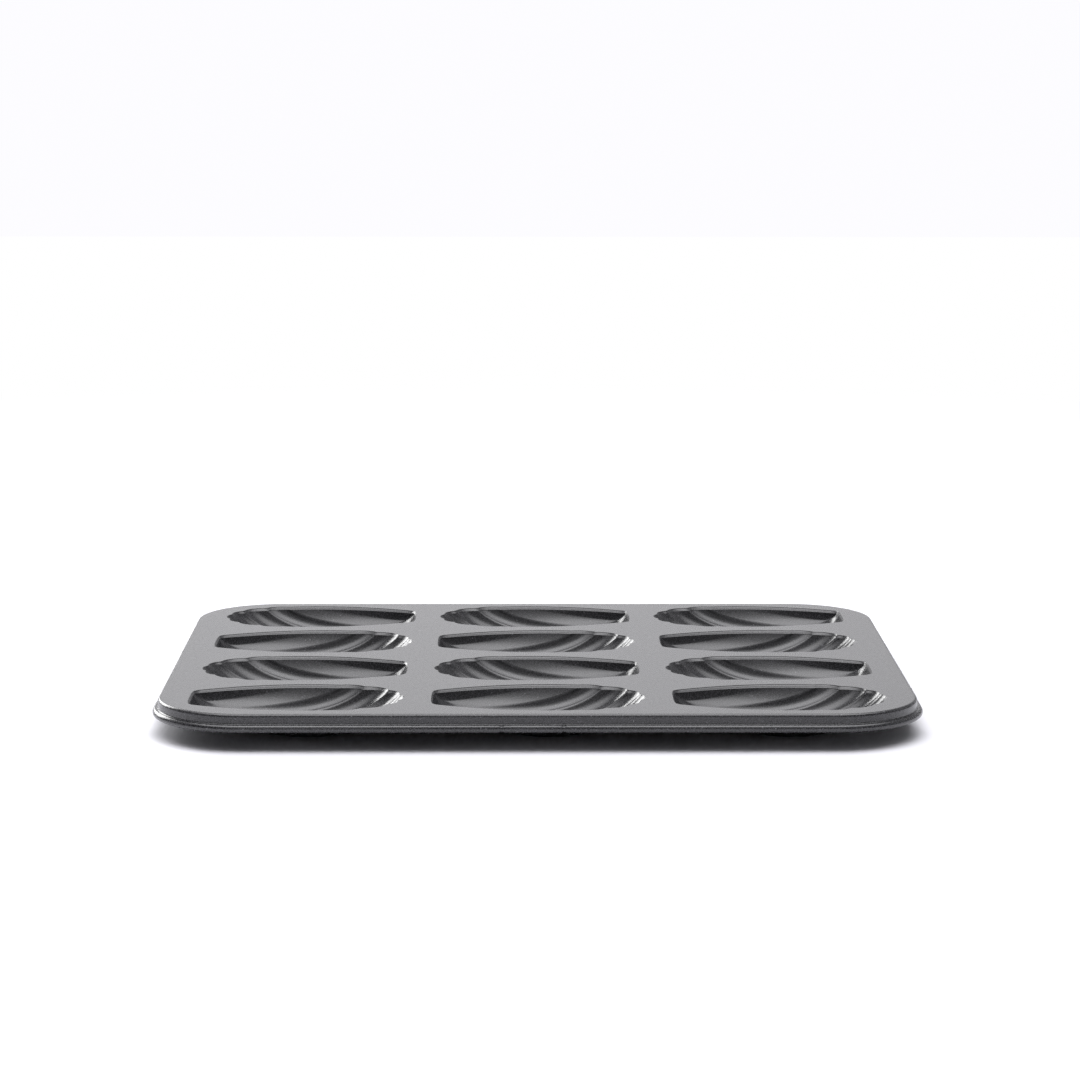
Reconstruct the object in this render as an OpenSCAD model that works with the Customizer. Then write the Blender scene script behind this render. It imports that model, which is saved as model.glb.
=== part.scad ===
// Madeleine pan: a pressed steel sheet with twelve fluted shell cups and a wired, rolled rim.
// Millimetres. +Z is up, X runs along the pan, and the cups stand on z = 0.

/* [Pan] */
// Length over the rolled rim
pan_length = 330.5; // [322:0.5:360]
// Width over the rolled rim
pan_width = 260; // [254:0.5:300]
// Corner radius over the rolled rim
corner_radius = 40.5; // [34:0.5:50]
// Height of the deck's top face above the table
deck_height = 15.7; // [15.2:0.1:16.5]
// Thickness of the steel sheet
sheet = 0.6; // [0.5:0.1:0.7]

/* [Rolled rim] */
// Distance from the flat deck to the outside of the rolled rim
rim_reach = 3.7; // [3.5:0.1:4]
// Radius of the bend from the deck into the skirt
edge_bend = 1.3; // [1.1:0.1:1.6]
// Radius of the crease from the skirt into the rolled rim
crease_bend = 0.5; // [0.3:0.1:0.6]
// Drop from the deck's top face to the middle of the rim wire
rim_drop = 6; // [5:0.1:7]
// Diameter of the rolled rim
rim_bead = 3.4; // [3.2:0.1:3.6]
// Direction, from the middle of the wire, in which the rolled edge ends
curl_end = 145; // [135:5:180]
// Distance between the two crimps at the ends of the rim wire
crimp_gap = 26; // [20:1:40]
// Distance of the crimps' middle to the left of the pan's middle
crimp_offset = 2.5; // [0:0.5:5]
// Width of a crimp at the surface of the rim
crimp_width = 2.6; // [1.5:0.1:3.5]
// Depth of a crimp
crimp_depth = 0.45; // [0.2:0.05:0.5]

/* [Cups] */
// Distance between cups along the pan
pitch_x = 103.5; // [101:0.5:104]
// Distance between cups across the pan
pitch_y = 62; // [58:0.5:62.5]
// Length of a cup at its lip
cup_length = 90; // [84:0.5:92]
// Width of a cup at its lip
cup_width = 53; // [48:0.5:54]
// Width of a cup's narrow end at its lip
narrow_width = 28; // [22:0.5:32]
// Bulge of the narrow end between its corners
end_bulge = 0.6; // [0.4:0.1:2]
// Shift of a cup towards its narrow end, which makes up for the reach of the flutes
cup_shift = 0.55; // [0:0.05:1]
// Distance from a cup's middle to its widest place
belly_shift = 4; // [0:0.5:8]
// Reach of the bend at a cup's sides, level
lip_reach = 2.4; // [1.8:0.1:3]
// Reach of the bend at a cup's ends, level
end_reach = 0.8; // [0.7:0.1:1.4]
// Reach of the bend at a cup's lip, downwards
lip_drop = 1.3; // [1.1:0.1:1.6]
// Depth of the floor, drawn out to the narrow end's lip
narrow_depth = 5.6; // [5:0.1:9]
// Run of the narrow end's wall for each millimetre of its depth
narrow_slope = 0.6; // [0.4:0.05:1]
// Depth of a flute for each millimetre of its width
flute_depth = 0.11; // [0.04:0.01:0.13]

/* [Hidden] */
columns = ["left", "middle", "right"];
row_count = 4;
function cup_name(row, column) = str("cup_row", row + 1, "_", columns[column]);
cup_names = [for (row = [0:row_count - 1]) for (column = [0:2]) cup_name(row, column)];

$fn = 48;
coating = [0.33, 0.335, 0.35];
bare_steel = [0.72, 0.72, 0.7];

// The deck and the rim
flat_length = pan_length - 2 * rim_reach;
flat_width = pan_width - 2 * rim_reach;
flat_radius = corner_radius - rim_reach;
bead_r = rim_bead / 2;
wire_r = bead_r - sheet;
bead_out = rim_reach - bead_r;
crease_out = edge_bend + crease_bend;
crease_rise = sqrt(pow(bead_r + crease_bend, 2) - pow(crease_out - bead_out, 2));
crease_turn = atan2(crease_rise, crease_out - bead_out);
skirt_foot = crease_rise - rim_drop;
wire_slack = 0.02;

// A cup's wall line, which is the lip's outline less the bend. The narrow end is at -X.
wall_half = cup_length / 2 - end_reach;
belly_half = cup_width / 2 - lip_reach;
narrow_half = narrow_width / 2 - 0.75 * lip_reach;
nose_reach = wall_half - belly_shift;
side_reach = wall_half - end_bulge + belly_shift;
side_bow = belly_half - narrow_half;
nose_power = 2.2;
floor_power = 1.6;
narrow_power = 3.5;
cap_power = 4;
inner_depth = deck_height - sheet;
bowl_depth = inner_depth + 0.4;

// Directions of the ridges at the wide end, as angles of the nose's curve
ridge_turns = [-73, -55, -32, -11, 11, 32, 55, 73];
last_ridge = len(ridge_turns) - 1;
flute_parts = 3;
ridge_and_flute_turns = [
    for (i = [0:last_ridge]) each i == last_ridge
        ? [ridge_turns[i]]
        : [for (k = [0:flute_parts - 1]) mix(ridge_turns[i], ridge_turns[i + 1], k / flute_parts)]
];
turns = concat([-90, -82], ridge_and_flute_turns, [82, 90]);
side_lines = 2;
line_count = len(turns);
last_line = line_count - 1;

// Steps along each line, from the foot of the narrow end's wall to the lip
steps = [0, 0.2, 0.38, 0.5, 0.6, 0.78, 0.93, 1];
corner_step = 0.05;
row_total = len(steps) + 1;
last_row = row_total - 1;

function signed_pow(v, p) = sign(v) * pow(abs(v), p);
function mix(a, b, s) = a + (b - a) * s;
function unit(v) = v / max(norm(v), 0.000001);

// Half the width of the wall line on the straight-sided part
function side_half(x) = belly_half - side_bow * pow((belly_shift - x) / side_reach, 2);

// 0 from the belly to the wide end, and 1 at the corners of the narrow end
function narrowing(x) = min(1, max(0, belly_shift - x) / side_reach);

// 0 on the middle of the bowl and 1 on its wall line
function bowl_share(x, y) = x < belly_shift
    ? min(1, abs(y) / side_half(x))
    : min(1, pow(pow((x - belly_shift) / nose_reach, nose_power)
        + pow(abs(y) / belly_half, nose_power), 1 / nose_power));

// Depth along the middle of the bowl, falling from the narrow end to the belly
function floor_depth(x) = bowl_depth - (bowl_depth - narrow_depth)
    * pow(narrowing(x), floor_power);

// Radius of the bowl's section, an arc that falls by deep in the middle of its half width
function arc_radius(half, deep) = (half * half + deep * deep) / (2 * deep);
function half_at(x) = x < belly_shift ? side_half(x) : belly_half;

// Share of the middle's depth: an arc at the belly, flatter in the middle towards the narrow end
function arc_share(x, share) = let (
        deep = floor_depth(x) - lip_drop,
        radius = arc_radius(half_at(x), deep)
    )
    (sqrt(max(0, pow(radius, 2) - pow(share * half_at(x), 2))) - radius + deep) / deep;
function box_share(share) = pow(max(0, 1 - pow(share, narrow_power)), 1 / narrow_power);
function section_share(x, share) = mix(
    arc_share(x, share),
    box_share(share),
    pow(narrowing(x), 2)
);

// Depth of the bowl at the height of the ridges
function ridge_depth(x, y) = lip_drop
    + (floor_depth(x) - lip_drop) * section_share(x, bowl_share(x, y));

// Sine of the bowl's slope
function bowl_lean(x, y) = bowl_share(x, y) * half_at(x)
    / arc_radius(half_at(x), floor_depth(x) - lip_drop);

// The wall line at the narrow end, which bulges outwards between its corners
function end_top(turn) = [
    -wall_half + end_bulge * pow(abs(sin(turn)), cap_power),
    narrow_half * sin(turn)
];
function end_top_outward(turn) = unit([
    -narrow_half,
    cap_power * end_bulge * signed_pow(sin(turn), cap_power - 1)
]);

// Where a line starts, at the foot of the narrow end's wall, and where it meets the wall line
function line_foot(turn) = end_top(turn)
    + [narrow_slope * (narrow_depth - lip_drop) * box_share(abs(sin(turn))), 0];
function line_end(turn) = [
    belly_shift + nose_reach * pow(cos(turn), 2 / nose_power),
    belly_half * signed_pow(sin(turn), 2 / nose_power)
];
function line_point(turn, s) = mix(line_foot(turn), line_end(turn), s)
    + [0, side_bow * signed_pow(sin(turn), 24) * s * (1 - s)];

// Outward direction of the wall line at a line's end
function end_outward(turn) = unit([
    pow(cos(turn), 2 - 2 / nose_power) / nose_reach,
    signed_pow(sin(turn), 2 - 2 / nose_power) / belly_half
]);

// How far a line is into its flute: 0 on a ridge and 1 in the middle of the hollow
function flute_part(j) = (j - side_lines) % flute_parts;
function flute_hollow(j) = let (share = flute_part(j) / flute_parts)
    j < side_lines || j > last_line - side_lines ? 0 : 4 * share * (1 - share);

// Distance between the ridges on both sides of a flute
function flute_width(j, s) = let (low = j - flute_part(j))
    flute_hollow(j) == 0
        ? 0
        : norm(line_point(turns[low + flute_parts], s) - line_point(turns[low], s));

// A flute is carved square to the bowl, and at the wall line it is carved level
function top_point(i, j) = i == 0
    ? [end_top(turns[j])[0], end_top(turns[j])[1], -lip_drop]
    : let (
        turn = turns[j],
        on_side = j == 0 || j == last_line,
        s = on_side && i == 1 ? corner_step : steps[i - 1],
        p = line_point(turn, s),
        lean = bowl_lean(p[0], p[1]),
        level = pow(s, 8),
        carve = flute_depth * flute_width(j, s) * flute_hollow(j) * min(1, 4 * s),
        out = carve * mix(lean, 1.15, level) * end_outward(turn),
        down = carve * sqrt(max(0, 1 - lean * lean)) * (1 - level),
        depth = on_side || i == last_row ? lip_drop : ridge_depth(p[0], p[1])
    )
    [p[0] + out[0], p[1] + out[1], -min(inner_depth, depth + down)];

top_grid = [for (i = [0:last_row]) [for (j = [0:last_line]) top_point(i, j)]];

// Outward direction on the wall line, at the edges of the grid
function side_outward(x, side) = unit([
    -2 * side_bow * (belly_shift - x) / pow(side_reach, 2),
    side
]);
function edge_outward(i, j) = let (
        side = j == 0 ? -1 : 1,
        on_side = j == 0 || j == last_line,
        p = top_grid[i][j]
    )
    i == 0 && on_side ? unit(end_top_outward(turns[j]) + side_outward(p[0], side))
    : i == 0 ? end_top_outward(turns[j])
    : on_side ? side_outward(p[0], side)
    : end_outward(turns[j]);

// The underside is the top face moved by the sheet's thickness
function is_edge(i, j) = i == 0 || i == last_row || j == 0 || j == last_line;
function surface_normal(i, j) = unit(cross(
    top_grid[i + 1][j] - top_grid[i - 1][j],
    top_grid[i][j + 1] - top_grid[i][j - 1]
));
function under_point(i, j) = let (p = top_grid[i][j])
    is_edge(i, j)
        ? p + sheet * [edge_outward(i, j)[0], edge_outward(i, j)[1], 0]
        : let (q = p - sheet * surface_normal(i, j))
            [q[0], q[1], p[2] <= -inner_depth ? -deck_height : max(q[2], -deck_height)];

// The edge of the grid, once round anticlockwise
edge_loop = concat(
    [for (i = [0:last_row - 1]) [i, 0]],
    [for (j = [0:last_line - 1]) [last_row, j]],
    [for (i = [last_row:-1:1]) [i, last_line]],
    [for (j = [last_line:-1:1]) [0, j]]
);
loop_size = len(edge_loop);
function lip_point(k) = let (
        at = edge_loop[k],
        p = top_grid[at[0]][at[1]],
        out = edge_outward(at[0], at[1]),
        reach = mix(end_reach, lip_reach, pow(out[1], 4))
    )
    [p[0] + reach * out[0], p[1] + reach * out[1]];
lip_outline = [for (k = [0:loop_size - 1]) lip_point(k)];

cup_points = concat(
    [for (i = [0:last_row]) for (j = [0:last_line]) top_grid[i][j]],
    [for (i = [0:last_row]) for (j = [0:last_line]) under_point(i, j)],
    [for (p = lip_outline) [p[0], p[1], 0]],
    [for (p = lip_outline) [p[0], p[1], -sheet]]
);
grid_size = row_total * line_count;
lip_top = 2 * grid_size;
lip_under = lip_top + loop_size;
function at_top(i, j) = i * line_count + j;
function at_under(i, j) = grid_size + at_top(i, j);
function split_quad(a, b, c, d) = [[a, b, c], [a, c, d]];

cup_faces = concat(
    [for (i = [0:last_row - 1]) for (j = [0:last_line - 1])
        each split_quad(at_top(i, j), at_top(i, j + 1), at_top(i + 1, j + 1), at_top(i + 1, j))],
    [for (i = [0:last_row - 1]) for (j = [0:last_line - 1])
        each split_quad(at_under(i, j), at_under(i + 1, j),
            at_under(i + 1, j + 1), at_under(i, j + 1))],
    [for (k = [0:loop_size - 1])
        let (n = (k + 1) % loop_size, a = edge_loop[k], b = edge_loop[n])
        each concat(
            split_quad(at_top(a[0], a[1]), at_top(b[0], b[1]), lip_top + n, lip_top + k),
            split_quad(at_under(a[0], a[1]), lip_under + k, lip_under + n, at_under(b[0], b[1])),
            split_quad(lip_top + k, lip_top + n, lip_under + n, lip_under + k)
        )]
);

// Places a cup: the first and third rows have their wide ends on the left
module at_cup(row, column) {
    x = (column - 1) * pitch_x;
    y = ((row_count - 1) / 2 - row) * pitch_y;
    translate([x, y, 0]) rotate(row % 2 == 0 ? 180 : 0) translate([-cup_shift, 0]) children();
}

// One fluted cup, with the bend of its lip
module shell_cup(row, column) {
    color(coating)
        translate([0, 0, deck_height])
            at_cup(row, column)
                polyhedron(points = cup_points, faces = cup_faces, convexity = 6);
}

// Straight and corner lengths of the rim's section, whose X is the distance out from the flat deck
module around_deck() {
    straight_x = flat_length / 2 - flat_radius;
    straight_y = flat_width / 2 - flat_radius;
    for (side = [0, 180]) {
        rotate(side) translate([-straight_x, -flat_width / 2, 0])
            rotate([90, 0, 90]) linear_extrude(2 * straight_x) mirror([1, 0]) children();
        rotate(side) translate([flat_length / 2, -straight_y, 0])
            rotate([90, 0, 0]) mirror([0, 0, 1]) linear_extrude(2 * straight_y) children();
    }
    for (sx = [-1, 1]) for (sy = [-1, 1])
        translate([sx * straight_x, sy * straight_y, 0])
            rotate(sx > 0 ? (sy > 0 ? 0 : -90) : (sy > 0 ? 90 : 180))
                rotate_extrude(angle = 90) translate([flat_radius, 0]) children();
}

// Points along an arc, whose first one can be left out
function arc_points(centre, radius, start, end, first = 0) = let (
        count = ceil(abs(end - start) / 12)
    )
    [for (k = [first:count])
        let (turn = mix(start, end, k / count)) centre + radius * [cos(turn), sin(turn)]];

// One face of the skirt and the rolled edge: the outer one, or the one that lies deep inside it
function rim_face(deep) = concat(
    arc_points([0, -edge_bend], edge_bend - deep, 90, 0),
    arc_points([crease_out, skirt_foot], crease_bend + deep, 180, 180 + crease_turn),
    arc_points([bead_out, -rim_drop], bead_r - deep, crease_turn, curl_end - 360, 1)
);
function reverse(list) = [for (k = [len(list) - 1:-1:0]) list[k]];

// Section of the skirt and the rolled edge, with the deck's top face at y = 0
module rim_section() {
    polygon(concat(rim_face(0), reverse(rim_face(sheet))));
}

module deck() {
    color(coating)
        translate([0, 0, deck_height - sheet])
            linear_extrude(sheet) difference() {
                deck_outline();
                for (row = [0:row_count - 1]) for (column = [0:2])
                    at_cup(row, column) polygon(lip_outline);
            }
}

module deck_outline() {
    straight_x = flat_length / 2 - flat_radius;
    straight_y = flat_width / 2 - flat_radius;
    square([2 * straight_x, flat_width], center = true);
    square([flat_length, 2 * straight_y], center = true);
    for (sx = [-1, 1]) for (sy = [-1, 1])
        translate([sx * straight_x, sy * straight_y]) circle(flat_radius);
}

// One crimp: a V-shaped groove pressed round the outer half of the rolled edge
module crimp_groove() {
    rotate([0, 90, 0]) rotate(180) rotate_extrude(angle = 180) polygon([
        [bead_r - crimp_depth, 0],
        [bead_r + crimp_depth, -crimp_width],
        [bead_r + crimp_depth, crimp_width]
    ]);
}

module rolled_rim() {
    color(coating)
        difference() {
            translate([0, 0, deck_height]) around_deck() rim_section();
            for (side = [-1, 1])
                translate([
                    side * crimp_gap / 2 - crimp_offset,
                    -flat_width / 2 - bead_out,
                    deck_height - rim_drop
                ])
                    crimp_groove();
        }
}

module rim_wire() {
    color(bare_steel)
        translate([0, 0, deck_height])
            around_deck() translate([bead_out, -rim_drop]) circle(wire_r - wire_slack);
}

deck();
rolled_rim();
rim_wire();
for (row = [0:row_count - 1]) for (column = [0:2])
    shell_cup(row, column);
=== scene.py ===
"""A pressed and coated madeleine pan: its looks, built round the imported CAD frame.

Finished meshes are in metres in the CAD's own frame: +X along the pan, +Z up, the cups standing on z = 0.
Sizes of the pan's own parts are in millimetres.
"""

import logging
import math
from collections.abc import Callable
from dataclasses import dataclass
from enum import Enum
from functools import partial

import bmesh
import bpy
from mathutils import Matrix, Vector


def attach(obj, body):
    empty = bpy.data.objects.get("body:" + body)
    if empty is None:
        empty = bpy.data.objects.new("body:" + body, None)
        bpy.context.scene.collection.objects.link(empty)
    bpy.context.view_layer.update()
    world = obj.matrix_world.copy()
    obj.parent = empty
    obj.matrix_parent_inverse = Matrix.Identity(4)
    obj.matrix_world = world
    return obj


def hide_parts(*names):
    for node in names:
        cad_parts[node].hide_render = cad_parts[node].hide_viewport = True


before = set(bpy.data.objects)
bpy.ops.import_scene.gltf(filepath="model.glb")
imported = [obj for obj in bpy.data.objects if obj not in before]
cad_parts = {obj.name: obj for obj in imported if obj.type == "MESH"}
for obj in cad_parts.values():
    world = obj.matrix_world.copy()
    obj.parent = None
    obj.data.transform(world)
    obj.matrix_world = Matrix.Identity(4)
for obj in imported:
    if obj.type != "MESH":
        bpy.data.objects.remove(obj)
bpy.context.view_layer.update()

LOG = logging.getLogger("madeleine_pan")
MM = 0.001
WELD = 0.001 * MM


class Facing(Enum):
    """The way a row of cups points: the turn, in degrees, of a cup whose narrow end is at -X."""

    WIDE_END_LEFT = 180.0
    NARROW_END_LEFT = 0.0


ROWS = (
    Facing.WIDE_END_LEFT,
    Facing.NARROW_END_LEFT,
    Facing.WIDE_END_LEFT,
    Facing.NARROW_END_LEFT,
)
COLUMNS = ("left", "middle", "right")


def linear_colour(hex_value: str) -> tuple[float, float, float, float]:
    """Turns an sRGB hex value into the linear colour that a shader socket takes.

    Args:
        hex_value: The colour as six hex digits, such as "2c2d30".

    Returns:
        Linear red, green, blue and an alpha of 1.
    """
    channels = []
    for start in (0, 2, 4):
        value = int(hex_value[start : start + 2], 16) / 255
        channels.append(value / 12.92 if value <= 0.04045 else ((value + 0.055) / 1.055) ** 2.4)
    return (channels[0], channels[1], channels[2], 1.0)


def add_node(
    tree: bpy.types.NodeTree,
    kind: str,
    settings: dict | None = None,
    inputs: dict | None = None,
) -> bpy.types.Node:
    """Adds a node to a tree, with its settings, socket values and links.

    Args:
        tree: The node tree that takes the node.
        kind: The node's type name.
        settings: Attribute values of the node.
        inputs: Socket names or indexes, each with a plain value or an output socket to link.

    Returns:
        The new node.
    """
    node = tree.nodes.new(kind)
    for name, value in (settings or {}).items():
        setattr(node, name, value)
    for key, value in (inputs or {}).items():
        if isinstance(value, bpy.types.NodeSocket):
            tree.links.new(value, node.inputs[key])
        else:
            node.inputs[key].default_value = value
    return node


def new_material(name: str) -> bpy.types.Material:
    """Makes an empty node material."""
    material = bpy.data.materials.new(name)
    material.use_nodes = True
    material.node_tree.nodes.clear()
    return material


@dataclass(frozen=True)
class CoatedSheetFinish:
    """Carbon-steel sheet under a sprayed and cured fluoropolymer non-stick coat.

    The coat is a dark, semi-gloss grey. Its sprayed surface has a fine grain that breaks highlights up,
    and mica in it shows as faint pale specks.
    """

    base: str = "19191b"
    pale: str = "3c3c3f"
    speck: str = "8b8b8f"
    roughness: float = 0.25
    roughness_spread: float = 0.06
    ior: float = 1.65
    grain_mm: float = 0.55  # real grain is about 0.1 mm, drawn coarser so that it shows
    grain_height_mm: float = 0.027
    mottle_range: tuple[float, float] = (0.42, 0.6)
    gloss_range: tuple[float, float] = (0.3, 0.7)
    speck_spacing_mm: float = 1.1
    speck_share: float = 0.1
    speck_strength: float = 0.55
    speck_edge: tuple[float, float] = (0.18, 0.34)

    def make(self) -> bpy.types.Material:
        """Builds the coating's material on Object coordinates."""
        material = new_material("non_stick_coated_steel")
        tree = material.node_tree
        place = add_node(tree, "ShaderNodeTexCoord").outputs["Object"]
        grain = add_node(
            tree,
            "ShaderNodeTexNoise",
            inputs={
                "Vector": place,
                "Scale": 1 / (self.grain_mm * MM),
                "Detail": 3.0,
                "Roughness": 0.6,
            },
        ).outputs["Fac"]
        flakes = add_node(
            tree,
            "ShaderNodeTexVoronoi",
            inputs={"Vector": place, "Scale": 1 / (self.speck_spacing_mm * MM)},
        )
        chance = add_node(
            tree, "ShaderNodeSeparateColor", inputs={"Color": flakes.outputs["Color"]}
        ).outputs["Red"]
        chosen = add_node(
            tree,
            "ShaderNodeMapRange",
            inputs={
                "Value": chance,
                "From Min": 1 - self.speck_share,
                "From Max": 1.0,
                "To Min": 0.0,
                "To Max": self.speck_strength,
            },
        ).outputs["Result"]
        near = add_node(
            tree,
            "ShaderNodeMapRange",
            inputs={
                "Value": flakes.outputs["Distance"],
                "From Min": self.speck_edge[0],
                "From Max": self.speck_edge[1],
                "To Min": 1.0,
                "To Max": 0.0,
            },
        ).outputs["Result"]
        speck = add_node(
            tree, "ShaderNodeMath", {"operation": "MULTIPLY"}, {0: chosen, 1: near}
        ).outputs[0]
        mottle = add_node(
            tree,
            "ShaderNodeMapRange",
            inputs={
                "Value": grain,
                "From Min": self.mottle_range[0],
                "From Max": self.mottle_range[1],
            },
        ).outputs["Result"]
        ground = add_node(
            tree,
            "ShaderNodeMix",
            {"data_type": "RGBA"},
            {"Factor": mottle, "A": linear_colour(self.base), "B": linear_colour(self.pale)},
        ).outputs["Result"]
        colour = add_node(
            tree,
            "ShaderNodeMix",
            {"data_type": "RGBA"},
            {"Factor": speck, "A": ground, "B": linear_colour(self.speck)},
        )
        gloss = add_node(
            tree,
            "ShaderNodeMapRange",
            inputs={
                "Value": grain,
                "From Min": self.gloss_range[0],
                "From Max": self.gloss_range[1],
                "To Min": self.roughness - self.roughness_spread,
                "To Max": self.roughness + self.roughness_spread,
            },
        ).outputs["Result"]
        bump = add_node(
            tree,
            "ShaderNodeBump",
            inputs={"Strength": 1.0, "Distance": self.grain_height_mm * MM, "Height": grain},
        ).outputs["Normal"]
        shader = add_node(
            tree,
            "ShaderNodeBsdfPrincipled",
            inputs={
                "Base Color": colour.outputs["Result"],
                "Roughness": gloss,
                "Normal": bump,
                "IOR": self.ior,
                "Metallic": 0.0,
            },
        )
        add_node(tree, "ShaderNodeOutputMaterial", inputs={"Surface": shader.outputs["BSDF"]})
        return material


@dataclass(frozen=True)
class DrawnWireFinish:
    """Bare drawn carbon-steel wire: a grey metal with fine lines and a dull gloss from the die."""

    base: str = "b9b9b6"
    roughness: float = 0.4
    roughness_spread: float = 0.08
    line_mm: float = 0.8

    def make(self) -> bpy.types.Material:
        """Builds the wire's material on Object coordinates."""
        material = new_material("drawn_steel_wire")
        tree = material.node_tree
        place = add_node(tree, "ShaderNodeTexCoord").outputs["Object"]
        lines = add_node(
            tree,
            "ShaderNodeTexNoise",
            inputs={"Vector": place, "Scale": 1 / (self.line_mm * MM), "Detail": 2.0},
        ).outputs["Fac"]
        gloss = add_node(
            tree,
            "ShaderNodeMapRange",
            inputs={
                "Value": lines,
                "To Min": self.roughness - self.roughness_spread,
                "To Max": self.roughness + self.roughness_spread,
            },
        ).outputs["Result"]
        shader = add_node(
            tree,
            "ShaderNodeBsdfPrincipled",
            inputs={
                "Base Color": linear_colour(self.base),
                "Metallic": 1.0,
                "Roughness": gloss,
            },
        )
        add_node(tree, "ShaderNodeOutputMaterial", inputs={"Surface": shader.outputs["BSDF"]})
        return material


@dataclass(frozen=True)
class CupForm:
    """One fluted cup's form, in millimetres, its narrow end at -X and the deck's top at z = 0.

    The inner face is drawn along lines that fan out from the narrow end's foot to the wall line, where the
    lip's bend starts. A line's turn is 0 along the cup's middle and 90 degrees at either side.
    """

    length: float = 90.0
    width: float = 53.0
    narrow_width: float = 28.0
    end_bulge: float = 0.6
    belly_shift: float = 4.0
    lip_reach: float = 2.4
    end_reach: float = 0.8
    lip_drop: float = 1.3
    narrow_depth: float = 5.6
    narrow_slope: float = 0.6
    corner_fill: float = 2.2  # how much flatter the narrow end's wall lies at its corners, as run over rise
    corner_power: int = 5
    foot_bend: float = 3.4  # reach of the bend between that wall and the floor, each way
    foot_share_most: float = 0.8
    inner_depth: float = 15.095  # 0.005 short, so that no rounded vertex lies below the table
    extra_depth: float = 0.4
    flute_depth: float = 0.11
    edge_carve: float = 1.15  # a flute cut level, at the wall line, is this much deeper than one cut square
    nose_power: float = 2.2
    floor_power: float = 1.6
    narrow_power: float = 3.5
    cap_power: int = 4
    side_power: int = 24
    level_power: int = 8
    flute_start: float = 0.25
    ridge_turns: tuple[float, ...] = (-73, -55, -32, -11, 11, 32, 55, 73)

    @property
    def wall_half(self) -> float:
        """Half the length of the wall line, where the lip's bend starts."""
        return self.length / 2 - self.end_reach

    @property
    def belly_half(self) -> float:
        """Half the widest width of the wall line."""
        return self.width / 2 - self.lip_reach

    @property
    def narrow_half(self) -> float:
        """Half the width of the wall line at the narrow end."""
        return self.narrow_width / 2 - 0.75 * self.lip_reach

    @property
    def nose_reach(self) -> float:
        """Distance from the widest place to the wall line's wide end."""
        return self.wall_half - self.belly_shift

    @property
    def side_reach(self) -> float:
        """Distance from the widest place to the corners of the narrow end."""
        return self.wall_half - self.end_bulge + self.belly_shift

    @property
    def side_bow(self) -> float:
        """How much wider the cup is at its belly than at its narrow end, on each side."""
        return self.belly_half - self.narrow_half

    @property
    def turns(self) -> tuple[float, ...]:
        """Every line that bounds a flute or a smooth side wall, in degrees."""
        return (-90.0, *self.ridge_turns, 90.0)

    def side_half(self, x: float) -> float:
        """Half the width of the wall line beside the straight-sided part."""
        return self.belly_half - self.side_bow * ((self.belly_shift - x) / self.side_reach) ** 2

    def bowl_share(self, x: float, y: float) -> float:
        """Gives 0 on the middle of the bowl and 1 on its wall line."""
        if x < self.belly_shift:
            return min(1.0, abs(y) / self.side_half(x))
        along = max(0.0, (x - self.belly_shift) / self.nose_reach) ** self.nose_power
        across = (abs(y) / self.belly_half) ** self.nose_power
        return min(1.0, (along + across) ** (1 / self.nose_power))

    def half_at(self, x: float) -> float:
        """Half the width of the bowl's section at a place along the cup."""
        return self.side_half(x) if x < self.belly_shift else self.belly_half

    def narrowing(self, x: float) -> float:
        """Gives 0 from the belly to the wide end, rising to 1 at the narrow end's corners."""
        return min(1.0, max(0.0, self.belly_shift - x) / self.side_reach)

    def fall(self, x: float) -> float:
        """How far the middle of the bowl lies below the wall line."""
        bowl = self.inner_depth + self.extra_depth
        middle = bowl - (bowl - self.narrow_depth) * self.narrowing(x) ** self.floor_power
        return middle - self.lip_drop

    def arc_radius(self, x: float) -> float:
        """Radius of the bowl's section."""
        return (self.half_at(x) ** 2 + self.fall(x) ** 2) / (2 * self.fall(x))

    def box_share(self, share: float) -> float:
        """Share of the middle's depth in the flat-bottomed section at the narrow end."""
        return max(0.0, 1 - share**self.narrow_power) ** (1 / self.narrow_power)

    def ridge_depth(self, x: float, y: float) -> float:
        """Depth of the bowl at the height of its ridges."""
        share = self.bowl_share(x, y)
        radius = self.arc_radius(x)
        height = math.sqrt(max(0.0, radius**2 - (share * self.half_at(x)) ** 2))
        arc_share = (height - radius) / self.fall(x) + 1
        mixed = arc_share + (self.box_share(share) - arc_share) * self.narrowing(x) ** 2
        return self.lip_drop + self.fall(x) * mixed

    def bowl_lean(self, x: float, y: float) -> float:
        """Sine of the bowl's slope."""
        return self.bowl_share(x, y) * self.half_at(x) / self.arc_radius(x)

    def wall_lean(self, x: float, growth: float) -> float:
        """How far the wall leans back at its top, as run over rise.

        Args:
            x: The place along the cup.
            growth: How fast the bowl share grows outwards there, per millimetre.

        Returns:
            The run for each millimetre of rise.
        """
        level = (self.arc_radius(x) - self.fall(x)) / (self.half_at(x) ** 2 * growth)
        return level * (1 - self.narrowing(x) ** 2)

    def end_top(self, turn: float) -> Vector:
        """The wall line at the narrow end, which bulges outwards between its corners."""
        bulge = self.end_bulge * abs(math.sin(turn)) ** self.cap_power
        return Vector((bulge - self.wall_half, self.narrow_half * math.sin(turn)))

    def end_outward(self, y: float) -> Vector:
        """Outward direction of the wall line at the narrow end."""
        across = y / self.narrow_half
        slope = self.cap_power * self.end_bulge * across ** (self.cap_power - 1)
        return Vector((-self.narrow_half, slope)).normalized()

    def reach(self, direction: Vector) -> float:
        """How far the lip's bend reaches outwards, more at the cup's sides than at its ends."""
        return self.end_reach + (self.lip_reach - self.end_reach) * direction.y**4

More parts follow.
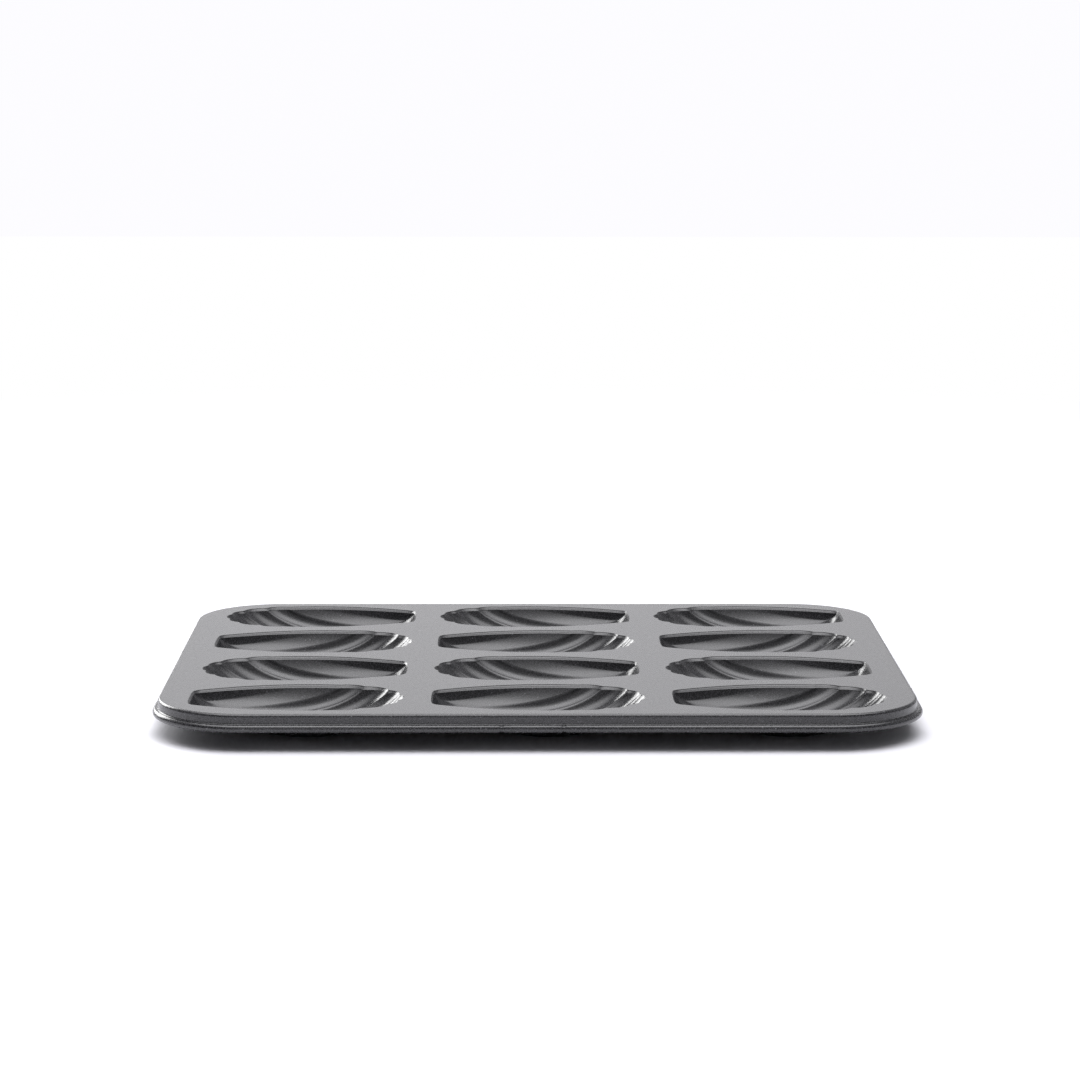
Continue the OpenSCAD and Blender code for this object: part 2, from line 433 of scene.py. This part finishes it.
    def foot(self, turn: float) -> Vector:
        """Where a line starts, at the foot of the narrow end's wall, turn in radians."""
        across = abs(math.sin(turn))
        depth = (self.narrow_depth - self.lip_drop) * self.box_share(across)
        slope = self.narrow_slope + self.corner_fill * across**self.corner_power
        return self.end_top(turn) + Vector((slope * depth, 0.0))

    def end(self, turn: float) -> Vector:
        """Where a line meets the wall line."""
        cos = max(0.0, math.cos(turn)) ** (2 / self.nose_power)
        sin = math.copysign(abs(math.sin(turn)) ** (2 / self.nose_power), math.sin(turn))
        return Vector((self.belly_shift + self.nose_reach * cos, self.belly_half * sin))

    def along(self, turn: float, step: float) -> Vector:
        """A point on a line, step running from 0 at its foot to 1 at its end."""
        point = self.foot(turn).lerp(self.end(turn), step)
        bow = math.copysign(abs(math.sin(turn)) ** self.side_power, math.sin(turn))
        point.y += self.side_bow * bow * step * (1 - step)
        return point

    def outward(self, turn: float) -> Vector:
        """Outward direction of the wall line at a line's end."""
        power = 2 - 2 / self.nose_power
        cos = max(0.0, math.cos(turn)) ** power / self.nose_reach
        sin = math.copysign(abs(math.sin(turn)) ** power, math.sin(turn)) / self.belly_half
        return Vector((cos, sin)).normalized()

    def flute(self, turn_degrees: float, step: float) -> tuple[float, float]:
        """Finds the flute that a line lies in.

        Args:
            turn_degrees: The line's turn.
            step: The place along the line.

        Returns:
            The flute's width there and how far the line is into its hollow: 0 on a ridge, 1 in the middle.
        """
        ridges = self.ridge_turns
        for low, high in zip(ridges, ridges[1:]):
            if low <= turn_degrees <= high:
                share = (turn_degrees - low) / (high - low)
                across = self.along(math.radians(high), step) - self.along(math.radians(low), step)
                return across.length, 4 * share * (1 - share)
        return 0.0, 0.0

    def surface(self, turn_degrees: float, step: float) -> Vector:
        """A point of the cup's inner face past the foot of the narrow end's wall.

        Args:
            turn_degrees: The line's turn.
            step: The place along the line.

        Returns:
            The point, in millimetres.
        """
        turn = math.radians(turn_degrees)
        point = self.along(turn, step)
        width, hollow = self.flute(turn_degrees, step)
        carve = self.flute_depth * width * hollow * min(1.0, step / self.flute_start)
        lean = self.bowl_lean(point.x, point.y)
        level = step**self.level_power
        down = carve * math.sqrt(max(0.0, 1 - lean * lean)) * (1 - level)
        on_edge = abs(turn_degrees) >= 90 or step >= 1
        depth = self.lip_drop if on_edge else self.ridge_depth(point.x, point.y)
        point += self.outward(turn) * carve * (lean + (self.edge_carve - lean) * level)
        return Vector((point.x, point.y, -min(self.inner_depth, depth + down)))

    def foot_share(self, turn_degrees: float) -> tuple[float, float]:
        """Finds where the bend between the narrow end's wall and the floor starts and ends.

        Args:
            turn_degrees: The line's turn.

        Returns:
            The share of the wall that the bend takes up, and the step along the line where it ends.
        """
        turn = math.radians(turn_degrees)
        wall = (self.end_wall(turn_degrees, 1.0) - self.end_wall(turn_degrees, 0.0)).length
        bend = min(self.foot_bend, self.foot_share_most * wall)
        return bend / max(wall, WELD), bend / (self.end(turn) - self.foot(turn)).length

    def end_wall(self, turn_degrees: float, rise: float) -> Vector:
        """A point of the narrow end's wall, rise running from 0 at its foot to 1 at its lip."""
        turn = math.radians(turn_degrees)
        top = self.end_top(turn)
        return self.surface(turn_degrees, 0.0).lerp(Vector((top.x, top.y, -self.lip_drop)), rise)

    def foot_point(self, turn_degrees: float, share: float) -> Vector:
        """A point of the bend between wall and floor, share running from 0 on the wall to 1 on the floor."""
        rise, step = self.foot_share(turn_degrees)
        corner = self.end_wall(turn_degrees, 0.0)
        down = self.end_wall(turn_degrees, rise).lerp(corner, share)
        return down.lerp(corner.lerp(self.surface(turn_degrees, step), share), share)

    def side_outward(self, x: float, side: float) -> Vector:
        """Outward direction of the wall line beside the straight-sided part."""
        slope = -2 * self.side_bow * (self.belly_shift - x) / self.side_reach**2
        return Vector((slope, side)).normalized()


def draw_out(
    bm: bmesh.types.BMesh,
    rim: list[bmesh.types.BMEdge],
    known: dict[bmesh.types.BMVert, tuple],
    place: Callable[[tuple], Vector],
) -> tuple[list[bmesh.types.BMEdge], dict[bmesh.types.BMVert, tuple]]:
    """Extrudes a rim of edges once.

    Args:
        bm: The mesh.
        rim: The edges to draw out.
        known: What place needs to know of each of the rim's vertices.
        place: Gives a new vertex's place from what is known of the old one.

    Returns:
        The new rim, and what is known of its vertices.
    """
    made = bmesh.ops.extrude_edge_only(bm, edges=rim)["geom"]
    verts = {item for item in made if isinstance(item, bmesh.types.BMVert)}
    passed_on = {}
    for vert in verts:
        others = (edge.other_vert(vert) for edge in vert.link_edges)
        old = next(other for other in others if other in known)
        passed_on[vert] = known[old]
        vert.co = place(known[old])
    edges = [item for item in made if isinstance(item, bmesh.types.BMEdge)]
    return [edge for edge in edges if verts.issuperset(edge.verts)], passed_on


@dataclass
class ShellCup:
    """One cup of the pan, with the bend of its lip: pressed sheet with seven flutes."""

    row: int
    column: int
    form: CupForm = CupForm()
    pitch_x: float = 103.5
    pitch_y: float = 62.0
    shift: float = 0.55
    deck_height: float = 15.7
    sheet: float = 0.6
    columns_per_flute: int = 10
    steps_along: int = 44
    wall_steps: int = 3
    foot_steps: int = 8
    floor_power: float = 1.8
    bend_steps: int = 4
    knee_rise: float = 0.45
    knee_reach: float = 0.8
    lip_step: float = 0.3
    step_section: tuple[tuple[float, float], ...] = (
        (0.0, 0.0),
        (0.04, 0.2),
        (0.1, 0.87),
        (0.18, 1.0),
        (0.58, 1.0),
    )

    @property
    def node(self) -> str:
        """The CAD node that this cup stands for."""
        return f"cup_row{self.row + 1}_{COLUMNS[self.column]}"

    @property
    def place(self) -> Matrix:
        """Where the cup stands in the pan, from its own millimetres to metres."""
        x = (self.column - 1) * self.pitch_x
        y = ((len(ROWS) - 1) / 2 - self.row) * self.pitch_y
        turn = Matrix.Rotation(math.radians(ROWS[self.row].value), 4, "Z")
        move = Matrix.Translation((x, y, self.deck_height))
        return Matrix.Scale(MM, 4) @ move @ turn @ Matrix.Translation((-self.shift, 0, 0))

    def line_turns(self) -> list[float]:
        """The turns of all the grid's lines, evenly spaced within each flute."""
        turns = [self.form.turns[0]]
        for low, high in zip(self.form.turns, self.form.turns[1:]):
            for index in range(1, self.columns_per_flute + 1):
                turns.append(low + (high - low) * index / self.columns_per_flute)
        return turns

    def press(self, bm: bmesh.types.BMesh) -> None:
        """Presses a flat grid into the cup's inner face, closer lines where the wall turns up."""
        turns = self.line_turns()
        floor_start = self.wall_steps + self.foot_steps
        rows = floor_start + self.steps_along
        across = len(turns) - 1
        grid = bmesh.ops.create_grid(bm, x_segments=rows, y_segments=across, size=1.0)["verts"]
        for vert in grid:
            i = round((vert.co.x + 1) / 2 * rows)
            j = round((vert.co.y + 1) / 2 * across)
            rise, step = self.form.foot_share(turns[j])
            if i < self.wall_steps:
                vert.co = self.form.end_wall(turns[j], 1 - (1 - rise) * i / self.wall_steps)
            elif i < floor_start:
                vert.co = self.form.foot_point(turns[j], (i - self.wall_steps) / self.foot_steps)
            else:
                share = (i - floor_start) / self.steps_along
                left = (1 - step) * (1 - share) ** self.floor_power
                vert.co = self.form.surface(turns[j], 1 - left)
        bmesh.ops.remove_doubles(bm, verts=bm.verts[:], dist=WELD / MM)

    def lip_direction(self, point: Vector) -> tuple[Vector, float]:
        """Tells how the lip's bend leaves the wall line at one of its points.

        Args:
            point: A point on the wall line.

        Returns:
            The outward direction in plan, and how far the wall leans back there, as run over rise.
        """
        form = self.form
        side = math.copysign(1.0, point.y)
        corner_x = form.end_bulge - form.wall_half
        if point.x < corner_x + 0.001:
            share = form.box_share(min(1.0, abs(point.y) / form.narrow_half))
            direction = form.end_outward(point.y)
            if point.x > corner_x - 0.001:
                direction = (direction + form.side_outward(point.x, side)).normalized()
            return direction, form.narrow_slope * share
        if point.x < form.belly_shift + 0.001:
            growth = 1 / form.side_half(point.x)
            return form.side_outward(point.x, side), form.wall_lean(point.x, growth)
        along = (point.x - form.belly_shift) / form.nose_reach
        across = abs(point.y) / form.belly_half
        power = form.nose_power - 1
        steepest = Vector((along**power / form.nose_reach, side * across**power / form.belly_half))
        return steepest.normalized(), form.wall_lean(point.x, steepest.length)

    def lip_profile(self, reach: float, lean: float) -> list[Vector]:
        """The lip's section: a tight bend, a sloping ledge and a fine step up to the deck.

        Args:
            reach: How far the ledge reaches outwards.
            lean: How far the wall leans back at its top, as run over rise.

        Returns:
            Points outwards and upwards from the wall line.
        """
        most = self.knee_reach * reach / self.knee_rise
        knee = Vector((min(lean, most), 1.0)) * self.knee_rise
        edge = Vector((reach, self.form.lip_drop - self.lip_step))
        before = knee * 0.5
        after = knee.lerp(edge, 0.25)
        points = [before]
        for index in range(1, self.bend_steps + 1):
            share = index / self.bend_steps
            points.append(before.lerp(knee, share).lerp(knee.lerp(after, share), share))
        for out, up in self.step_section:
            points.append(edge + Vector((out, up * self.lip_step)))
        return points

    def lip_point(self, index: int, known: tuple[Vector, Vector, float]) -> Vector:
        """Places one point of the lip's section.

        Args:
            index: The point's number in the section.
            known: The point of the wall line that it belongs to, the outward direction and the lean there.

        Returns:
            The point, in millimetres.
        """
        base, direction, lean = known
        point = self.lip_profile(self.form.reach(direction), lean)[index]
        return base + Vector((direction.x * point.x, direction.y * point.x, point.y))

    def bend_lip(self, bm: bmesh.types.BMesh) -> None:
        """Draws the wall's edge out over the lip's bend and on to a narrow flat margin."""
        rim = [edge for edge in bm.edges if edge.is_boundary]
        known = {}
        for edge in rim:
            for vert in edge.verts:
                known[vert] = (vert.co.copy(), *self.lip_direction(vert.co))
        for index in range(len(self.lip_profile(self.form.lip_reach, 0.0))):
            place = partial(self.lip_point, index)
            rim, known = draw_out(bm, rim, known, place)

    def outline(self, bm: bmesh.types.BMesh) -> list[bmesh.types.BMEdge]:
        """Adds the cup's outer edge to the deck's mesh, as a loop of edges.

        Args:
            bm: The deck's mesh, in metres.

        Returns:
            The loop's edges in that mesh.
        """
        own = bmesh.new()
        self.press(own)
        self.bend_lip(own)
        own.transform(self.place)
        loose = [edge for edge in own.edges if edge.is_boundary]
        copies = {}
        edges = []
        for edge in loose:
            for vert in edge.verts:
                if vert not in copies:
                    copies[vert] = bm.verts.new(vert.co)
            edges.append(bm.edges.new([copies[vert] for vert in edge.verts]))
        own.free()
        return edges

    def build(self) -> bpy.types.Object:
        """Makes the cup's own object."""
        bm = bmesh.new()
        self.press(bm)
        self.bend_lip(bm)
        bm.transform(self.place)
        return sheet_object(bm, f"{self.node}_shell", self.sheet)


def sheet_object(bm: bmesh.types.BMesh, name: str, sheet: float) -> bpy.types.Object:
    """Turns a pressed surface into an object with the sheet's thickness below it.

    Args:
        bm: The surface, in metres. It is freed.
        name: The object's name.
        sheet: The sheet's thickness in millimetres.

    Returns:
        The object, smooth but for the cut edge of the sheet.
    """
    bmesh.ops.recalc_face_normals(bm, faces=bm.faces[:])
    top = max(bm.faces, key=lambda face: face.calc_center_median().z * 1000 + face.calc_area())
    if top.normal.z < 0:
        bmesh.ops.reverse_faces(bm, faces=bm.faces[:])
    for face in bm.faces:
        face.smooth = True
    for edge in bm.edges:
        edge.smooth = not edge.is_boundary
    mesh = bpy.data.meshes.new(name)
    bm.to_mesh(mesh)
    bm.free()
    piece = bpy.data.objects.new(name, mesh)
    bpy.context.scene.collection.objects.link(piece)
    wall = piece.modifiers.new("sheet thickness", "SOLIDIFY")
    wall.thickness = sheet * MM
    wall.offset = -1.0
    wall.use_even_offset = True
    return piece


def arc(centre: Vector, radius: float, start: float, end: float, steps: int) -> list[Vector]:
    """Points along a circular arc.

    Args:
        centre: The arc's centre.
        radius: Its radius.
        start: The angle of its first point, in degrees.
        end: The angle of its last point, in degrees.
        steps: How many steps it is drawn in.

    Returns:
        The points, both ends included.
    """
    turns = [math.radians(start + (end - start) * index / steps) for index in range(steps + 1)]
    return [centre + radius * Vector((math.cos(turn), math.sin(turn))) for turn in turns]


@dataclass
class DeckAndRim:
    """The flat deck between the cups, and its edge: bent down, creased and rolled over the wire."""

    length: float = 330.5
    width: float = 260.0
    corner_radius: float = 40.5
    rim_reach: float = 3.7
    edge_bend: float = 1.3
    crease_bend: float = 0.5
    rim_drop: float = 6.0
    rim_bead: float = 3.4
    curl_end: float = 145.0
    crimp_gap: float = 26.0
    crimp_offset: float = 2.5
    crimp_width: float = 2.6
    crimp_depth: float = 0.45
    deck_height: float = 15.7
    sheet: float = 0.6
    corner_segments: int = 28
    edge_steps: int = 6
    crease_steps: int = 5
    bead_steps: int = 24
    crimp_steps: int = 8

    @property
    def bead_out(self) -> float:
        """Distance from the flat deck's edge to the middle of the wire."""
        return self.rim_reach - self.rim_bead / 2

    def section(self) -> list[Vector]:
        """The outer face of the rim's section, from the flat deck outwards and round the wire."""
        bend = Vector((0.0, -self.edge_bend))
        bead = Vector((self.bead_out, -self.rim_drop))
        bead_r = self.rim_bead / 2
        crease_out = self.edge_bend + self.crease_bend
        gap = bead_r + self.crease_bend
        lift = math.sqrt(gap**2 - (crease_out - bead.x) ** 2)
        crease = Vector((crease_out, bead.y + lift))
        lean = math.degrees(math.atan2(crease.y - bead.y, crease.x - bead.x))
        return [
            *arc(bend, self.edge_bend, 90, 0, self.edge_steps),
            *arc(crease, self.crease_bend, 180, 180 + lean, self.crease_steps),
            *arc(bead, bead_r, lean, self.curl_end - 360, self.bead_steps)[1:],
        ]

    def flat_outline(self, bm: bmesh.types.BMesh) -> list[bmesh.types.BMEdge]:
        """Draws the flat deck's outline, with extra points at the crimps.

        Args:
            bm: The mesh that takes it, in millimetres.

        Returns:
            The outline's edges.
        """
        half_x = self.length / 2 - self.rim_reach
        half_y = self.width / 2 - self.rim_reach
        made = bmesh.ops.create_grid(bm, x_segments=1, y_segments=1, size=1.0)["verts"]
        bmesh.ops.scale(bm, vec=(half_x, half_y, 1), verts=made)
        bmesh.ops.bevel(
            bm,
            geom=made,
            offset=self.corner_radius - self.rim_reach,
            offset_type="OFFSET",
            segments=self.corner_segments,
            profile=0.5,
            affect="VERTICES",
            material=-1,
        )
        cuts = []
        for side in (-1, 1):
            middle = side * self.crimp_gap / 2 - self.crimp_offset
            for step in range(self.crimp_steps + 1):
                cuts.append(middle + (step / self.crimp_steps - 0.5) * self.crimp_width)
        for x in cuts:
            bmesh.ops.bisect_plane(
                bm,
                geom=bm.verts[:] + bm.edges[:] + bm.faces[:],
                plane_co=(x, 0, 0),
                plane_no=(1, 0, 0),
            )
        bmesh.ops.dissolve_faces(bm, faces=bm.faces[:])
        bmesh.ops.delete(bm, geom=bm.faces[:], context="FACES_ONLY")
        return bm.edges[:]

    def outward(self, point: Vector) -> Vector:
        """Outward direction of the deck's outline at one of its points."""
        straight_x = self.length / 2 - self.corner_radius
        straight_y = self.width / 2 - self.corner_radius
        past_x = max(0.0, abs(point.x) - straight_x)
        past_y = max(0.0, abs(point.y) - straight_y)
        corner = Vector((past_x, past_y))
        corner.normalize()
        return Vector((math.copysign(corner.x, point.x), math.copysign(corner.y, point.y)))

    def pinch(self, x: float, y: float) -> float:
        """How deep a crimp is pressed into the rolled edge at a place along it."""
        if y > 0:
            return 0.0
        deepest = 0.0
        for side in (-1, 1):
            middle = side * self.crimp_gap / 2 - self.crimp_offset
            share = 1 - abs(x - middle) / (self.crimp_width / 2)
            deepest = max(deepest, self.crimp_depth * share)
        return deepest

    def edge_point(self, index: int, known: tuple[Vector, Vector]) -> Vector:
        """Places one point of the rim's section, pressed in where it lies in a crimp.

        Args:
            index: The point's number in the section.
            known: The point of the deck's outline that it belongs to, and the outward direction there.

        Returns:
            The point, in millimetres.
        """
        base, direction = known
        section = self.section()
        point = section[index].copy()
        if index >= len(section) - self.bead_steps:
            inward = Vector((self.bead_out, -self.rim_drop)) - point
            point += inward.normalized() * self.pinch(base.x, base.y)
        return base + Vector((direction.x * point.x, direction.y * point.x, point.y))

    def roll_edge(self, bm: bmesh.types.BMesh, outline: list[bmesh.types.BMEdge]) -> None:
        """Draws the outline out along the rim's section, point by point."""
        known = {}
        for edge in outline:
            for vert in edge.verts:
                known[vert] = (vert.co.copy(), self.outward(vert.co))
        rim = outline
        for index in range(1, len(self.section())):
            rim, known = draw_out(bm, rim, known, partial(self.edge_point, index))

    def build(self, cups: list[ShellCup]) -> bpy.types.Object:
        """Makes the deck with an opening for each cup, and its rolled edge.

        Args:
            cups: The cups whose outlines bound the deck's openings.

        Returns:
            The object.
        """
        bm = bmesh.new()
        outline = self.flat_outline(bm)
        inner = []
        inset = bmesh.ops.extrude_edge_only(bm, edges=outline)["geom"]
        verts = {item for item in inset if isinstance(item, bmesh.types.BMVert)}
        for vert in verts:
            direction = self.outward(vert.co)
            vert.co -= Vector((direction.x, direction.y, 0)) * 0.5
        for item in inset:
            if isinstance(item, bmesh.types.BMEdge) and set(item.verts) <= verts:
                inner.append(item)
        self.roll_edge(bm, outline)
        bm.transform(Matrix.Scale(MM, 4) @ Matrix.Translation((0, 0, self.deck_height)))
        loops = list(inner)
        for cup in cups:
            loops += cup.outline(bm)
        bmesh.ops.triangle_fill(bm, use_beauty=True, edges=loops, normal=(0, 0, 1))
        return sheet_object(bm, "deck_and_rolled_rim", self.sheet)


@dataclass(frozen=True)
class Studio:
    """A white table under soft light, and the camera at the photograph's place.

    The room is a world whose brightness follows the direction alone. A white sheet hangs behind the pan,
    which the deck mirrors, soft light comes from above, and the sides and the camera's end are dim. Each
    curve below is a list of (place, level). A fit gave a first estimate of the levels, and they were then
    rounded and changed until the render's brightness was near the photograph's.
    """

    # the camera's place, turns and lens are fitted to the pan's outline and rows in the photograph
    camera_mm: tuple[float, float, float] = (-10.9, -1434.44, 304.49)
    pitch: float = 80.661
    yaw: float = -0.498
    roll: float = 0.077
    lens: float = 106.667
    sensor: float = 36.0
    floor_reach: float = 3.0
    floor_white: str = "f7f7fb"
    floor_fade: tuple[float, float] = (0.45, 1.2)
    tint: tuple[float, float, float, float] = (0.98, 0.975, 1.0, 1.0)
    # light from above, by the sine of the height over the horizon
    overhead: tuple[tuple[float, float], ...] = (
        (0.0, 0.2),
        (0.76, 0.2),
        (0.84, 2.1),
        (0.92, 3.0),
        (0.97, 4.0),
        (1.0, 4.0),
    )
    # its share round the set, by the turn from the back horizon (0) over the top to the front one (1)
    behind: tuple[tuple[float, float], ...] = (
        (0.0, 1.0),
        (0.57, 1.0),
        (0.65, 0.3),
        (1.0, 0.3),
    )
    # light from the walls, by the same turn
    round_the_set: tuple[tuple[float, float], ...] = (
        (0.0, 0.75),
        (0.03, 1.08),
        (0.12, 1.05),
        (0.145, 0.25),
        (0.19, 0.2),
        (0.21, 0.9),
        (0.27, 0.9),
        (0.3, 0.3),
        (0.65, 0.45),
        (0.88, 0.42),
        (1.0, 0.15),
    )
    # its share across the set, from the far left (0) to the far right (1)
    across_the_set: tuple[tuple[float, float], ...] = (
        (0.2, 0.04),
        (0.3, 0.22),
        (0.38, 0.25),
        (0.43, 1.0),
        (0.5, 0.98),
        (0.57, 0.86),
        (0.62, 0.3),
        (0.7, 0.25),
        (0.95, 0.25),
    )
    lamp_place: tuple[float, float, float] = (-1.0, 1.17, 0.6)
    lamp_size: tuple[float, float] = (0.92, 0.72)
    lamp_watts: float = 16.0

    def place_camera(self) -> None:
        """Sets the camera where the photograph was taken from."""
        data = bpy.data.cameras.new("camera")
        data.sensor_fit = "HORIZONTAL"
        data.sensor_width = self.sensor
        data.lens = self.lens
        data.clip_start = 0.05
        data.clip_end = 20.0
        camera = bpy.data.objects.new("camera", data)
        turn = (
            Matrix.Rotation(math.radians(self.yaw), 4, "Z")
            @ Matrix.Rotation(math.radians(self.pitch), 4, "X")
            @ Matrix.Rotation(math.radians(self.roll), 4, "Z")
        )
        camera.matrix_world = Matrix.Translation(Vector(self.camera_mm) * MM) @ turn
        bpy.context.scene.collection.objects.link(camera)
        bpy.context.scene.camera = camera

    def floor_material(self) -> bpy.types.Material:
        """Matt white table that keeps the pan's shadow and fades into the white background."""
        material = new_material("white_table")
        tree = material.node_tree
        place = add_node(tree, "ShaderNodeTexCoord").outputs["Object"]
        distance = add_node(
            tree, "ShaderNodeVectorMath", {"operation": "LENGTH"}, {0: place}
        ).outputs["Value"]
        fade = add_node(
            tree,
            "ShaderNodeMapRange",
            {"interpolation_type": "SMOOTHSTEP"},
            {
                "Value": distance,
                "From Min": self.floor_fade[0],
                "From Max": self.floor_fade[1],
            },
        ).outputs["Result"]
        matt = add_node(
            tree, "ShaderNodeBsdfDiffuse", inputs={"Color": linear_colour(self.floor_white)}
        ).outputs["BSDF"]
        glow = add_node(
            tree, "ShaderNodeEmission", inputs={"Color": (1, 1, 1, 1), "Strength": 1.0}
        ).outputs["Emission"]
        path = add_node(tree, "ShaderNodeLightPath")
        seen = add_node(
            tree,
            "ShaderNodeMath",
            {"operation": "MAXIMUM"},
            {0: path.outputs["Is Camera Ray"], 1: path.outputs["Is Glossy Ray"]},
        ).outputs[0]
        seen_or_through = add_node(
            tree,
            "ShaderNodeMath",
            {"operation": "MAXIMUM"},
            {0: seen, 1: path.outputs["Is Transmission Ray"]},
        ).outputs[0]
        share = add_node(
            tree, "ShaderNodeMath", {"operation": "MULTIPLY"}, {0: fade, 1: seen_or_through}
        ).outputs[0]
        mixed = add_node(
            tree, "ShaderNodeMixShader", inputs={0: share, 1: matt, 2: glow}
        ).outputs[0]
        add_node(tree, "ShaderNodeOutputMaterial", inputs={"Surface": mixed})
        return material

    def lay_floor(self) -> None:
        """Lays the table that the pan stands on."""
        bm = bmesh.new()
        bmesh.ops.create_grid(bm, x_segments=1, y_segments=1, size=self.floor_reach)
        mesh = bpy.data.meshes.new("table")
        bm.to_mesh(mesh)
        bm.free()
        mesh.materials.append(self.floor_material())
        table = bpy.data.objects.new("table", mesh)
        bpy.context.scene.collection.objects.link(table)

    def hang_lamp(self) -> None:
        """Hangs a rectangular soft lamp behind the pan on the left, facing it."""
        data = bpy.data.lights.new("key_left", "AREA")
        data.shape = "RECTANGLE"
        data.size, data.size_y = self.lamp_size
        data.energy = self.lamp_watts
        lamp = bpy.data.objects.new("key_left", data)
        place = Vector(self.lamp_place)
        turn = (-place).to_track_quat("-Z", "Y").to_matrix().to_4x4()
        lamp.matrix_world = Matrix.Translation(place) @ turn
        bpy.context.scene.collection.objects.link(lamp)

    def add_levels(
        self,
        tree: bpy.types.NodeTree,
        value: bpy.types.NodeSocket,
        levels: tuple[tuple[float, float], ...],
    ) -> bpy.types.NodeSocket:
        """Turns a value from 0 to 1 into a strength that runs evenly between given levels.

        Args:
            tree: The node tree.
            value: The socket with the value.
            levels: Pairs of a value and the strength there.

        Returns:
            The socket with the strength.
        """
        ramp = add_node(tree, "ShaderNodeValToRGB", inputs={"Fac": value})
        stops = ramp.color_ramp.elements
        while len(stops) < len(levels):
            stops.new(0.5)
        for stop, (place, strength) in zip(stops, levels):
            stop.position = place
            stop.color = (strength, strength, strength, 1)
        return ramp.outputs["Color"]

    def light_room(self) -> None:
        """Lights the set by its direction curves: (round x across) + (overhead x behind)."""
        world = bpy.data.worlds.new("studio")
        world.use_nodes = True
        tree = world.node_tree
        tree.nodes.clear()
        place = add_node(tree, "ShaderNodeTexCoord").outputs["Generated"]
        axes = add_node(tree, "ShaderNodeSeparateXYZ", inputs={0: place}).outputs
        above = self.add_levels(tree, axes["Z"], self.overhead)
        turn = add_node(
            tree, "ShaderNodeMath", {"operation": "ARCTAN2"}, {0: axes["Z"], 1: axes["Y"]}
        ).outputs[0]
        share = add_node(
            tree,
            "ShaderNodeMapRange",
            inputs={"Value": turn, "From Min": 0.0, "From Max": math.pi},
        ).outputs["Result"]
        around = self.add_levels(tree, share, self.round_the_set)
        behind = self.add_levels(tree, share, self.behind)
        above_behind = add_node(
            tree, "ShaderNodeMath", {"operation": "MULTIPLY"}, {0: above, 1: behind}
        ).outputs[0]
        side = add_node(
            tree,
            "ShaderNodeMapRange",
            inputs={"Value": axes["X"], "From Min": -1.0, "From Max": 1.0},
        ).outputs["Result"]
        across = self.add_levels(tree, side, self.across_the_set)
        bright = add_node(
            tree,
            "ShaderNodeMath",
            {"operation": "MULTIPLY_ADD"},
            {0: around, 1: across, 2: above_behind},
        ).outputs[0]
        path = add_node(tree, "ShaderNodeLightPath")
        level = add_node(
            tree,
            "ShaderNodeMix",
            {"data_type": "FLOAT"},
            {"Factor": path.outputs["Is Camera Ray"], "A": bright, "B": 1.0},
        ).outputs[0]
        back = add_node(
            tree,
            "ShaderNodeBackground",
            inputs={"Color": self.tint, "Strength": level},
        ).outputs[0]
        add_node(tree, "ShaderNodeOutputWorld", inputs={"Surface": back})
        bpy.context.scene.world = world

    def build(self) -> None:
        """Sets up the camera, table and lights."""
        self.place_camera()
        self.lay_floor()
        self.light_room()
        self.hang_lamp()
        bpy.context.scene.view_settings.view_transform = "Standard"


def dress(piece: bpy.types.Object, finish: bpy.types.Material) -> None:
    """Gives a new piece its finish, its body and the record's material slot.

    Args:
        piece: The piece.
        finish: Its material.
    """
    piece.data.materials.clear()
    piece.data.materials.append(finish)
    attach(piece, "root")
    LOG.info("%s: %d faces before thickness", piece.name, len(piece.data.polygons))


def main() -> None:
    """Builds the pan's pieces in order, then the set."""
    coat = CoatedSheetFinish().make()
    wire = DrawnWireFinish().make()
    cups = [ShellCup(row, column) for row in range(len(ROWS)) for column in range(len(COLUMNS))]
    for cup in cups:
        shell = cup.build()
        dress(shell, coat)
        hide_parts(cup.node)
    deck = DeckAndRim().build(cups)
    dress(deck, coat)
    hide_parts("deck", "rolled_rim")
    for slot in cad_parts["rim_wire"].material_slots:
        slot.material = wire
    LOG.info("rim_wire: the CAD's own wire, in drawn steel")
    Studio().build()


if __name__ == "__main__":
    logging.basicConfig(level=logging.INFO, format="%(name)s: %(message)s")
    main()
